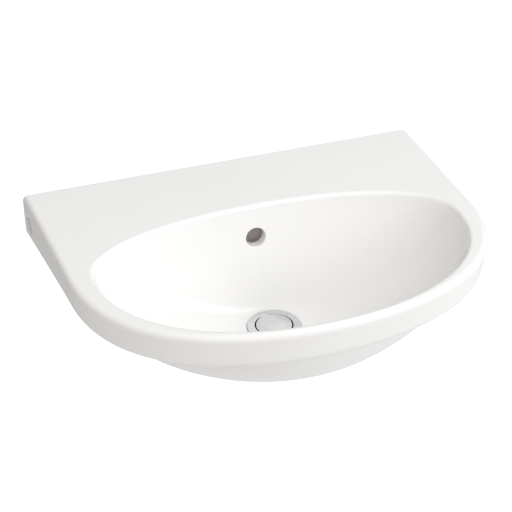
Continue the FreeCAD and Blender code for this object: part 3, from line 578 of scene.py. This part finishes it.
def glaze_material():
    """White sanitary glaze with faint clouds and a slow ripple; the wall face and the duct are bare clay."""
    material, tree, shader = start_material("glaze")
    white = colours(tree, noise(tree, GLAZE_CLOUDS, detail=3), GLAZE_SHADES)
    depth = axis_values(tree)[1]
    hole = product(
        tree,
        inside_hole(tree, OVERFLOW_MIDDLE, OVERFLOW_RADIUS, MASK_EDGE),
        inside_range(tree, depth, OVERFLOW_FRONT, CHAMBER_HIGH[1], MASK_EDGE),
    )
    chamber = inside_box(tree, CHAMBER_LOW, CHAMBER_HIGH, MASK_EDGE)
    duct = larger(tree, hole, chamber)
    grain = noise(tree, CLAY_GRAIN, detail=4)
    clay = colours(tree, grain, DUCT_SHADES)
    wall_face = between(tree, depth, -WALL_FACE_DEPTH, -WALL_FACE_DEPTH / 2)
    bisque = colours(tree, grain, WALL_FACE_SHADES)
    colour = mixed(tree, wall_face, mixed(tree, duct, white, clay), bisque)
    tree.links.new(colour, shader.inputs["Base Color"])
    gloss = between(tree, noise(tree, GLAZE_GLOSS_CLOUDS, detail=3), *NOISE_SPAN, *GLAZE_GLOSS)
    rough = tree.nodes.new("ShaderNodeMix")
    rough.data_type = "FLOAT"
    rough.inputs["B"].default_value = CLAY_ROUGHNESS
    tree.links.new(larger(tree, duct, wall_face), rough.inputs["Factor"])
    tree.links.new(gloss, rough.inputs["A"])
    tree.links.new(rough.outputs["Result"], shader.inputs["Roughness"])
    shader.inputs["IOR"].default_value = GLAZE_IOR
    add_bump(tree, shader, noise(tree, GLAZE_RIPPLE, detail=1), GLAZE_RIPPLE_DEPTH)
    add_bump(tree, shader, noise(tree, GLAZE_GRAIN, detail=1), GLAZE_GRAIN_DEPTH)
    return material


def chrome_material():
    """Polished chrome with a few dull patches and a very fine grain."""
    material, tree, shader = start_material("chrome")
    patches = noise(tree, CHROME_PATCHES, detail=3)
    tree.links.new(colours(tree, patches, CHROME_SHADES), shader.inputs["Base Color"])
    shader.inputs["Metallic"].default_value = 1.0
    tree.links.new(between(tree, patches, *NOISE_SPAN, *CHROME_GLOSS), shader.inputs["Roughness"])
    add_bump(tree, shader, noise(tree, CHROME_GRAIN, detail=1), CHROME_GRAIN_DEPTH)
    return material


def metal_material(name, shades, gloss, scratch_stretch):
    """Bare or plated metal: blotches in its colour and fine scratches drawn out along one way."""
    material, tree, shader = start_material(name)
    blotches = noise(tree, METAL_BLOTCHES, detail=4)
    tree.links.new(colours(tree, blotches, shades, METAL_BLOTCH_SPAN), shader.inputs["Base Color"])
    shader.inputs["Metallic"].default_value = 1.0
    scratches = noise(tree, METAL_SCRATCHES, 3, scratch_stretch)
    tree.links.new(between(tree, scratches, *METAL_SCRATCH_SPAN, *gloss), shader.inputs["Roughness"])
    add_bump(tree, shader, scratches, METAL_SCRATCH_DEPTH)
    return material


def rubber_material():
    """Black moulded rubber with a dusty bloom."""
    material, tree, shader = start_material("rubber")
    bloom = noise(tree, RUBBER_BLOOM, detail=5)
    tree.links.new(colours(tree, bloom, RUBBER_SHADES, RUBBER_BLOOM_SPAN), shader.inputs["Base Color"])
    tree.links.new(between(tree, bloom, *NOISE_SPAN, *RUBBER_GLOSS), shader.inputs["Roughness"])
    add_bump(tree, shader, noise(tree, RUBBER_GRAIN, detail=3), RUBBER_GRAIN_DEPTH)
    return material


def plastic_material(name, shades, gloss, grain_depth):
    """Moulded plastic with a slightly cloudy body and a fine grain."""
    material, tree, shader = start_material(name)
    tree.links.new(colours(tree, noise(tree, PLASTIC_CLOUDS, detail=3), shades), shader.inputs["Base Color"])
    dullness = noise(tree, PLASTIC_GLOSS_CLOUDS, detail=3)
    tree.links.new(between(tree, dullness, *NOISE_SPAN, *gloss), shader.inputs["Roughness"])
    add_bump(tree, shader, noise(tree, PLASTIC_GRAIN, detail=2), grain_depth)
    return material


MATERIALS = {
    "glaze": glaze_material(),
    "chrome": chrome_material(),
    "brass": metal_material("brass", BRASS_SHADES, BRASS_GLOSS, (0.15, 0.15, 2)),
    "zinc_steel": metal_material("zinc_steel", ZINC_SHADES, ZINC_GLOSS, (1, 1, 1)),
    "spring_steel": metal_material("spring_steel", SPRING_SHADES, SPRING_GLOSS, (2, 2, 0.3)),
    "rubber": rubber_material(),
    "nylon": plastic_material("nylon", NYLON_SHADES, NYLON_GLOSS, NYLON_GRAIN_DEPTH),
    "white_plastic": plastic_material("white_plastic", COVER_SHADES, COVER_GLOSS, COVER_GRAIN_DEPTH),
}


def finish_piece(piece, node, body, slot):
    """Give a piece its material and body, and let it stand for a node."""
    piece.data.materials.clear()
    piece.data.materials.append(MATERIALS[slot])
    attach(piece, body)
    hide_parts(node)


# Levels and radii read from the frame

def middle_of(node):
    low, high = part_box(node)
    return (low + high) / 2


def span_of(node):
    """Lowest level, highest level and half width of a node."""
    low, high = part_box(node)
    return low.z, high.z, (high.x - low.x) / 2


DRAIN = middle_of("waste_flange")
DRAIN.z = 0


def add_waste_piece(name, mesh, node, body, slot):
    """Piece on the drain's axis, with its large faces shaded flat."""
    finish_piece(even_normals(add_piece(name, mesh, DRAIN)), node, body, slot)


def add_waste_flange():
    foot, top, radius = span_of("waste_flange")
    seal_top = top - FLANGE_HEIGHT
    tube_top = seal_top - FLANGE_COLLAR_HEIGHT
    seat = top - FLANGE_DISH_DEPTH
    mesh = turned("waste_flange_turned", [
        (FLANGE_BORE, foot, RING_ROUND),
        (FLANGE_SPIGOT, foot, RING_ROUND),
        (FLANGE_SPIGOT, tube_top, 0),
        (FLANGE_COLLAR, tube_top, RING_ROUND),
        (FLANGE_COLLAR, seal_top, 0),
        (radius, seal_top, RING_ROUND),
        (radius, top, FLANGE_EDGE_ROUND),
        (FLANGE_DISH, top, FLANGE_DISH_ROUND),
        (FLANGE_SEAT, seat, RING_ROUND),
        (FLANGE_BORE, seat, RING_ROUND),
    ], segments=2 * SEGMENTS)
    add_waste_piece("waste_flange_turned", mesh, "waste_flange", "basin", "chrome")


def add_plug_cap():
    foot, top, radius = span_of("plug_cap")
    edge_top = top - PLUG_CROWN
    under = edge_top - PLUG_EDGE_HEIGHT
    groove_middle = under - PLUG_GROOVE_DROP
    dome_radius = (radius ** 2 + PLUG_CROWN ** 2) / (2 * PLUG_CROWN)
    skirt = rounded_corners([
        (PLUG_HOLE, foot, 0),
        (PLUG_NECK, foot, RING_ROUND),
        (PLUG_NECK, groove_middle - PLUG_GROOVE_HALF, 0),
        (PLUG_GROOVE, groove_middle - PLUG_GROOVE_HALF, 0),
        (PLUG_GROOVE, groove_middle + PLUG_GROOVE_HALF, 0),
        (PLUG_NECK, groove_middle + PLUG_GROOVE_HALF, 0),
        (PLUG_NECK, under, 0),
        (radius, under, RING_ROUND),
        (radius, edge_top, PLUG_EDGE_ROUND),
        (0, edge_top, 0),
    ])[:-1]
    dome_reach = skirt[-1].x
    dome = []
    for step in range(1, DOME_STEPS + 1):
        reach = dome_reach * (1 - step / DOME_STEPS)
        dome.append((reach, top - dome_radius + math.sqrt(dome_radius ** 2 - reach ** 2)))
    hole = [(0, foot + PLUG_HOLE_DEPTH), (PLUG_HOLE, foot + PLUG_HOLE_DEPTH)]
    rings = [fixed_ring(point) for point in hole + skirt + dome]
    mesh = revolved("plug_cap_turned", rings, 2 * SEGMENTS, closed=False)
    finish_piece(add_piece("plug_cap_turned", mesh, DRAIN), "plug_cap", "plug", "chrome")


def add_plug_seal():
    foot, top, radius = span_of("plug_seal")
    ring_middle = top - PLUG_GROOVE_DROP
    ring_radius = PLUG_GROOVE + PLUG_RING
    circle = []
    for step in range(SEAL_RING_SIDES):
        angle = math.tau * step / SEAL_RING_SIDES
        circle.append((ring_radius + PLUG_RING * math.cos(angle), ring_middle + PLUG_RING * math.sin(angle)))
    ring = revolved("plug_ring", [fixed_ring(point) for point in circle])
    gasket = ring_mesh("plug_gasket", GASKET_BORE, radius, top - GASKET_HEIGHT, top, RING_ROUND)
    mesh = joined("plug_seal_moulded", [ring, gasket])
    finish_piece(add_piece("plug_seal_moulded", mesh, DRAIN), "plug_seal", "plug", "rubber")


def add_waste_tube():
    foot, top, radius = span_of("waste_tube")
    outside = [(TUBE_BORE, foot), (radius - TUBE_THREAD_DEPTH, foot)]
    thread = thread_rings(foot + TUBE_BEVEL / 2, TUBE_THREAD_TOP, radius, TUBE_THREAD_DEPTH, TUBE_PITCH)
    rest = [(radius, top - RING_ROUND), (radius - RING_ROUND, top), (TUBE_BORE, top)]
    rings = [fixed_ring(point) for point in outside] + thread + [fixed_ring(point) for point in rest]
    mesh = revolved("waste_tube_threaded", rings)
    arm_reach = (radius + TUBE_BORE) / 2
    arm_half = CROSS_ARM / 2
    cross_foot = CROSS_TOP - CROSS_HEIGHT
    cross = ring_mesh("hub", CROSS_BORE, CROSS_HUB, cross_foot, CROSS_TOP, CROSS_ROUND)
    hub_inset = (CROSS_BORE + CROSS_HUB) / 2
    for side in (1, -1):
        near, far = sorted((side * hub_inset, side * arm_reach))
        for low, high in (
            ((near, -arm_half, cross_foot), (far, arm_half, CROSS_TOP)),
            ((-arm_half, near, cross_foot), (arm_half, far, CROSS_TOP)),
        ):
            cross = combined(cross, rounded_box("arm", low, high, CROSS_ROUND), "UNION")
    mesh = combined(mesh, cross, "UNION")
    half = TUBE_SLOT_WIDTH / 2
    slot_foot = TUBE_SLOT_LEVEL - half
    slot_top = TUBE_SLOT_LEVEL + half
    for reach_x, reach_y in ((2 * radius, half), (half, 2 * radius)):
        cutter = rounded_box("slot", (-reach_x, -reach_y, slot_foot), (reach_x, reach_y, slot_top), 0)
        mesh = combined(mesh, cutter, "DIFFERENCE")
    add_waste_piece("waste_tube_threaded", mesh, "waste_tube", "basin", "brass")


def add_clamping_rings():
    foot, top, radius = span_of("lower_seal")
    seal = turned("lower_seal_moulded", [
        (TUBE_FIT, foot, RING_ROUND),
        (radius - SEAL_BEVEL, foot, SOFT_ROUND),
        (radius, foot + SEAL_BEVEL, SOFT_ROUND),
        (radius, top, SOFT_ROUND),
        (TUBE_FIT, top, RING_ROUND),
    ])
    add_waste_piece("lower_seal_moulded", seal, "lower_seal", "basin", "rubber")
    foot, top, radius = span_of("slip_washer")
    washer = ring_mesh("slip_washer_moulded", TUBE_FIT, radius, foot, top, RING_ROUND)
    add_waste_piece("slip_washer_moulded", washer, "slip_washer", "basin", "nylon")
    foot, top, radius = span_of("flange_seal")
    ring = ring_mesh("flange_seal_moulded", SEAL_BORE, radius, foot, top, RING_ROUND)
    add_waste_piece("flange_seal_moulded", ring, "flange_seal", "basin", "rubber")


def add_drain_nut(node, bore, body):
    foot, top, radius = span_of(node)
    mesh = nut_mesh(f"{node}_cut", bore, radius, top - foot)
    place = Vector((DRAIN.x, DRAIN.y, foot))
    finish_piece(even_normals(add_piece(f"{node}_cut", mesh, place)), node, body, "brass")


def add_latch():
    foot, top, collar = span_of("latch_housing")
    housing = turned("latch_housing_turned", [
        (HOUSING_BORE, foot, RING_ROUND),
        (HOUSING_RADIUS, foot, RING_ROUND),
        (HOUSING_RADIUS, CROSS_TOP, 0),
        (collar, CROSS_TOP, RING_ROUND),
        (collar, CROSS_TOP + HOUSING_COLLAR_HEIGHT, CROSS_ROUND),
        (HOUSING_RADIUS, CROSS_TOP + HOUSING_COLLAR_HEIGHT, 0),
        (HOUSING_RADIUS, top, CROSS_ROUND),
        (HOUSING_ROOF_BORE, top, RING_ROUND),
        (HOUSING_ROOF_BORE, top - HOUSING_ROOF, 0),
        (HOUSING_BORE, top - HOUSING_ROOF, 0),
    ])
    add_waste_piece("latch_housing_turned", housing, "latch_housing", "basin", "brass")

    foot, top, head = span_of("plunger")
    nut_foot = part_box("height_nut")[0].z
    body_points = [
        (0, foot),
        (head - RING_ROUND, foot),
        (head, foot + RING_ROUND),
        (head, foot + PLUNGER_HEAD_HEIGHT - RING_ROUND),
        (head - RING_ROUND, foot + PLUNGER_HEAD_HEIGHT),
        (PLUNGER_SHAFT, foot + PLUNGER_HEAD_HEIGHT),
        (PLUNGER_SHAFT, nut_foot - RING_ROUND),
        (PLUNGER_SHAFT - RING_ROUND, nut_foot),
    ]
    thread = thread_rings(top - RING_ROUND, nut_foot, PLUNGER_THREAD, PLUNGER_THREAD_DEPTH, PLUNGER_PITCH)
    end = [(PLUNGER_THREAD - PLUNGER_THREAD_DEPTH, top), (0, top)]
    rings = [fixed_ring(point) for point in body_points] + thread[::-1] + [fixed_ring(point) for point in end]
    rod = revolved("plunger_turned", rings, STUD_SEGMENTS, closed=False)
    add_waste_piece("plunger_turned", rod, "plunger", "plug", "brass")

    foot, top, radius = span_of("spring_retainer")
    retainer = ring_mesh(
        "spring_retainer_turned", RETAINER_HOLE, radius, foot, top, RING_ROUND, STUD_SEGMENTS
    )
    add_waste_piece("spring_retainer_turned", retainer, "spring_retainer", "basin", "brass")


def add_latch_rotor():
    """Cam ring whose top is a row of slanted teeth."""
    foot, top, radius = span_of("latch_rotor")

    def toothed(reach):
        def ring(angle):
            climb = (angle * ROTOR_TEETH / math.tau) % 1
            fall = ramp_share(climb, ROTOR_RAMP_SHARE, 1)
            return reach, top - ROTOR_TOOTH_HEIGHT * (1 - ramp_share(climb, 0, ROTOR_RAMP_SHARE) + fall)
        return ring

    rings = [fixed_ring((ROTOR_BORE, foot)), fixed_ring((radius - RING_ROUND, foot))]
    rings += [fixed_ring((radius, foot + RING_ROUND)), toothed(radius), toothed(ROTOR_BORE)]
    mesh = revolved("latch_rotor_moulded", rings, 2 * SEGMENTS)
    finish_piece(add_piece("latch_rotor_moulded", mesh, DRAIN), "latch_rotor", "rotor", "nylon")


def add_latch_spring():
    """Coil with close end turns, between the basin and the plug."""
    foot, top, radius = span_of("latch_spring")
    coil_radius = radius - SPRING_WIRE
    low = foot + SPRING_WIRE
    high = top - SPRING_WIRE
    turns = SPRING_TURNS + 2 * SPRING_END_TURNS
    end_rise = SPRING_END_PITCH * SPRING_END_TURNS
    last_turn = turns - SPRING_END_TURNS
    count = round(turns * SPRING_STEPS)

    def level(turn):
        open_share = ramp_share(turn, SPRING_END_TURNS, last_turn)
        close_share = ramp_share(turn, 0, SPRING_END_TURNS) + ramp_share(turn, last_turn, turns)
        return low + end_rise * close_share + (high - low - 2 * end_rise) * open_share

    work = bmesh.new()
    loops = []
    for step in range(count + 1):
        turn = turns * step / count
        angle = math.tau * turn
        middle = Vector((coil_radius * math.cos(angle), coil_radius * math.sin(angle), level(turn)))
        outward = Vector((math.cos(angle), math.sin(angle), 0))
        loop = []
        for side in range(SPRING_SIDES):
            lean = math.tau * side / SPRING_SIDES
            way = outward * math.cos(lean) + Vector((0, 0, math.sin(lean)))
            loop.append(work.verts.new(middle + SPRING_WIRE * way))
        loops.append(loop)
    for here, there in zip(loops, loops[1:]):
        for side in range(SPRING_SIDES):
            after = (side + 1) % SPRING_SIDES
            work.faces.new([here[side], here[after], there[after], there[side]])
    work.faces.new(loops[0])
    work.faces.new(loops[-1])
    bmesh.ops.recalc_face_normals(work, faces=work.faces)
    mesh = bpy.data.meshes.new("latch_spring_wound")
    work.to_mesh(mesh)
    work.free()
    piece = add_piece("latch_spring_wound", mesh, DRAIN)
    piece.data.materials.append(MATERIALS["spring_steel"])
    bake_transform(piece)
    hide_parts("latch_spring")


# Wall fixings: each is made about Z and turned to run from the wall to the front on both studs

STUD_TURN = Matrix.Rotation(math.radians(90), 4, "X")


def on_studs(name, node, make_mesh, back, slot):
    """The same piece on both studs; back is where its foot lies along Y."""
    low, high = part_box("wall_studs")
    radius = (high.z - low.z) / 2
    meshes = []
    for x in (low.x + radius, high.x - radius):
        mesh = make_mesh(f"{name}_one")
        mesh.transform(Matrix.Translation((x, back, (low.z + high.z) / 2)) @ STUD_TURN)
        meshes.append(mesh)
    finish_piece(even_normals(add_piece(name, joined(name, meshes))), node, "basin", slot)


def stud_mesh(name):
    low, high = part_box("wall_studs")
    radius = (high.z - low.z) / 2
    embed = high.y
    length = high.y - low.y
    screw_end = embed - STUD_SHANK
    rings = [fixed_ring((0, 0))]
    count = round((screw_end - STUD_SCREW_PITCH / 4) / STUD_SCREW_PITCH * ROWS_PER_PITCH)
    for step in range(1, count + 1):
        height = screw_end * step / count
        taper = ramp_share(height, 0, STUD_TIP)
        depth = (radius - STUD_SCREW_ROOT) * ramp_share(screw_end - height, 0, STUD_SCREW_PITCH)
        rings.append(
            thread_ring(height, radius * taper, depth * taper, STUD_SCREW_PITCH, STUD_SCREW_SHARPNESS)
        )
    rings += [fixed_ring(point) for point in (
        (radius, embed - RING_ROUND),
        (radius - RING_ROUND, embed),
        (STUD_NECK, embed),
        (STUD_NECK, embed + STUD_NECK_LENGTH),
    )]
    front = length - STUD_BEVEL
    thread_start = embed + STUD_NECK_LENGTH
    thread = thread_rings(front, thread_start, STUD_THREAD, STUD_THREAD_DEPTH, STUD_THREAD_PITCH)
    rings += thread[::-1]
    rings += [fixed_ring((STUD_THREAD - STUD_BEVEL, length)), fixed_ring((0, length))]
    return revolved(name, rings, STUD_SEGMENTS, closed=False)


def add_wall_fixings():
    on_studs("wall_studs_threaded", "wall_studs", stud_mesh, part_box("wall_studs")[1].y, "zinc_steel")

    low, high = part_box("stud_sleeves")
    sleeve_length = high.y - low.y
    flange_radius = (high.z - low.z) / 2
    flange_foot = sleeve_length - SLEEVE_FLANGE_HEIGHT
    on_studs("stud_sleeves_moulded", "stud_sleeves", lambda name: turned(name, [
        (STUD_FIT, 0, RING_ROUND),
        (SLEEVE_RADIUS, 0, RING_ROUND),
        (SLEEVE_RADIUS, flange_foot, 0),
        (flange_radius, flange_foot, RING_ROUND),
        (flange_radius, sleeve_length, SOFT_ROUND),
        (STUD_FIT, sleeve_length, RING_ROUND),
    ], STUD_SEGMENTS), high.y, "nylon")

    low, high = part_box("stud_washers")
    washer_height = high.y - low.y
    washer_radius = (high.z - low.z) / 2
    on_studs("stud_washers_stamped", "stud_washers", lambda name: ring_mesh(
        name, STUD_FIT, washer_radius, 0, washer_height, RING_ROUND, STUD_SEGMENTS
    ), high.y, "zinc_steel")

    low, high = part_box("stud_nuts")
    stud_low, stud_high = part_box("wall_studs")
    stud_x = stud_high.x - (stud_high.z - stud_low.z) / 2
    nut_height = high.y - low.y
    nut_corner = high.x - stud_x
    on_studs("stud_nuts_cut", "stud_nuts", lambda name: nut_mesh(
        name, STUD_FIT, nut_corner, nut_height
    ), high.y, "zinc_steel")


add_waste_flange()
add_plug_cap()
add_plug_seal()
add_waste_tube()
add_clamping_rings()
add_drain_nut("back_nut", TUBE_FIT, "basin")
add_drain_nut("height_nut", HEIGHT_NUT_BORE, "plug")
add_latch()
add_latch_rotor()
add_latch_spring()
add_wall_fixings()

for kept_node, kept_slot in (("basin_body", "glaze"), ("side_plugs", "white_plastic")):
    nodes[kept_node].data.materials.clear()
    nodes[kept_node].data.materials.append(MATERIALS[kept_slot])


# Camera, floor and light

def add_camera():
    """Camera that looks from the front, the left and above."""
    data = bpy.data.cameras.new("camera")
    camera = bpy.data.objects.new("camera", data)
    scene.collection.objects.link(camera)
    level = math.cos(CAMERA_PITCH)
    back = Vector((math.sin(CAMERA_YAW) * level, -math.cos(CAMERA_YAW) * level, math.sin(CAMERA_PITCH)))
    camera.location = CAMERA_TARGET + back * CAMERA_DISTANCE
    camera.rotation_mode = "QUATERNION"
    camera.rotation_quaternion = (-back).to_track_quat("-Z", "Y")
    data.sensor_width = SENSOR_WIDTH
    data.lens = SENSOR_WIDTH * FOCAL_PIXELS / PICTURE_PIXELS
    data.shift_x = FRAMING_PIXELS[0] / PICTURE_PIXELS
    data.shift_y = FRAMING_PIXELS[1] / PICTURE_PIXELS
    scene.camera = camera


def add_floor():
    """Pale floor that only the camera sees, so that it sends no light up."""
    bpy.ops.mesh.primitive_plane_add(size=FLOOR_SIZE, location=(0, 0, FLOOR_LEVEL))
    floor = bpy.context.object
    floor.name = "floor"
    material, tree, shader = start_material("floor")
    shader.inputs["Base Color"].default_value = FLOOR_COLOUR
    shader.inputs["Roughness"].default_value = FLOOR_ROUGHNESS
    shader.inputs["Specular IOR Level"].default_value = 0.0
    shader.inputs["Emission Color"].default_value = (*WHITE, 1)
    shader.inputs["Emission Strength"].default_value = FLOOR_GLOW
    floor.data.materials.append(material)
    floor.visible_diffuse = False
    floor.visible_glossy = False
    floor.visible_shadow = False


def add_soft_box(name, direction, power, colour, mirrored):
    """Large soft box in that direction from the basin; unless mirrored, it leaves no outline in the glaze."""
    data = bpy.data.lights.new(name, "AREA")
    data.shape = "SQUARE"
    data.size = BOX_SIZE
    data.energy = power
    data.color = colour
    lamp = bpy.data.objects.new(name, data)
    scene.collection.objects.link(lamp)
    lamp.location = BOX_TARGET + direction.normalized() * BOX_DISTANCE
    lamp.visible_glossy = mirrored
    lamp.rotation_mode = "QUATERNION"
    lamp.rotation_quaternion = (-direction).to_track_quat("-Z", "Y")


def add_sky():
    """Soft light from above, from the sides and up from a pale table, with a white backdrop."""
    world = bpy.data.worlds.new("studio")
    world.use_nodes = True
    tree = world.node_tree
    light = tree.nodes["Background"]
    parts = tree.nodes.new("ShaderNodeSeparateXYZ")
    tree.links.new(tree.nodes.new("ShaderNodeTexCoord").outputs["Generated"], parts.inputs["Vector"])
    from_left = between(tree, parts.outputs["X"], 0, -1)
    tree.links.new(colours(tree, from_left, (WHITE, SKY_LEFT_COLOUR), (0, 1)), light.inputs["Color"])
    across = total(
        tree,
        between(tree, parts.outputs["X"], 0, 1, 0, SKY_RIGHT),
        between(tree, parts.outputs["X"], 0, -1, 0, SKY_LEFT),
    )
    upright = total(
        tree,
        between(tree, parts.outputs["Z"], 0, 1, 0, SKY_TOP),
        between(tree, parts.outputs["Z"], 0, -1, 0, SKY_BELOW),
    )
    tree.links.new(total(tree, across, upright), light.inputs["Strength"])
    backdrop = tree.nodes.new("ShaderNodeBackground")
    backdrop.inputs["Color"].default_value = (*WHITE, 1)
    choice = tree.nodes.new("ShaderNodeMixShader")
    tree.links.new(tree.nodes.new("ShaderNodeLightPath").outputs["Is Camera Ray"], choice.inputs["Fac"])
    tree.links.new(light.outputs["Background"], choice.inputs[1])
    tree.links.new(backdrop.outputs["Background"], choice.inputs[2])
    tree.links.new(choice.outputs["Shader"], tree.nodes["World Output"].inputs["Surface"])
    scene.world = world


add_camera()
add_floor()
add_soft_box("right_box", RIGHT_BOX_DIRECTION, RIGHT_BOX_POWER, RIGHT_BOX_COLOUR, True)
add_soft_box("left_box", LEFT_BOX_DIRECTION, LEFT_BOX_POWER, LEFT_BOX_COLOUR, False)
add_sky()
scene.view_settings.view_transform = "Standard"
